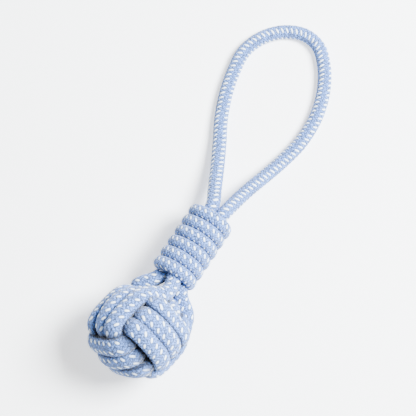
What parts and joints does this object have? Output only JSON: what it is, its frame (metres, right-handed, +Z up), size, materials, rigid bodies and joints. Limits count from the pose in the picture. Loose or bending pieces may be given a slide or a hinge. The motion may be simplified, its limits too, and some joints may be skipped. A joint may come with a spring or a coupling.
{
  "type": "rope dog toy",
  "caption": "Rope dog toy: a woven rope ball on a bound rope grip that ends in an open hand loop, lying on a flat surface.",
  "frame": {"origin": "bottom centre of the toy's box, on the surface that it lies on", "axes": "+X from the ball towards the hand loop, +Y to the left seen from the ball, +Z up"},
  "size_m": [0.2816, 0.0872, 0.0675],
  "materials": {
    "braided_rope": "matte braid, pale blue with white flecks",
    "core_rubber": "matte",
    "melted_end": "smooth melted fibre"
  },
  "bodies": {
    "ball": {"fist_first_turns": "braided_rope", "fist_second_turns": "braided_rope", "fist_third_turns": "braided_rope", "fist_locking_tuck": "braided_rope", "fist_core": "core_rubber", "neck_strand_left": "braided_rope", "neck_strand_middle": "braided_rope", "neck_strand_right": "braided_rope"},
    "grip": {"grip_wrap": "braided_rope", "grip_core_left": "braided_rope", "grip_core_middle": "braided_rope", "grip_core_right": "braided_rope", "tail_end_seal": "melted_end", "loop_root_left": "braided_rope", "loop_root_right": "braided_rope"},
    "loop": {"handle_loop": "braided_rope"}
  },
  "joints": [
    {"name": "neck_bend", "type": "hinge", "parent": "ball", "child": "grip", "pos_m": [-0.073, -0.01, 0.0294], "axis": [0, 1, 0], "range_deg": [-30, 30], "stiffness_Nm_per_rad": 0.37, "deforming": ["neck_strand_left", "neck_strand_middle", "neck_strand_right"]},
    {"name": "loop_fold", "type": "hinge", "parent": "grip", "child": "loop", "pos_m": [-0.0063, -0.01, 0.0203], "axis": [0, 1, 0], "range_deg": [-80, 30], "stiffness_Nm_per_rad": 0.05, "deforming": ["loop_root_left", "loop_root_right"]}
  ]
}
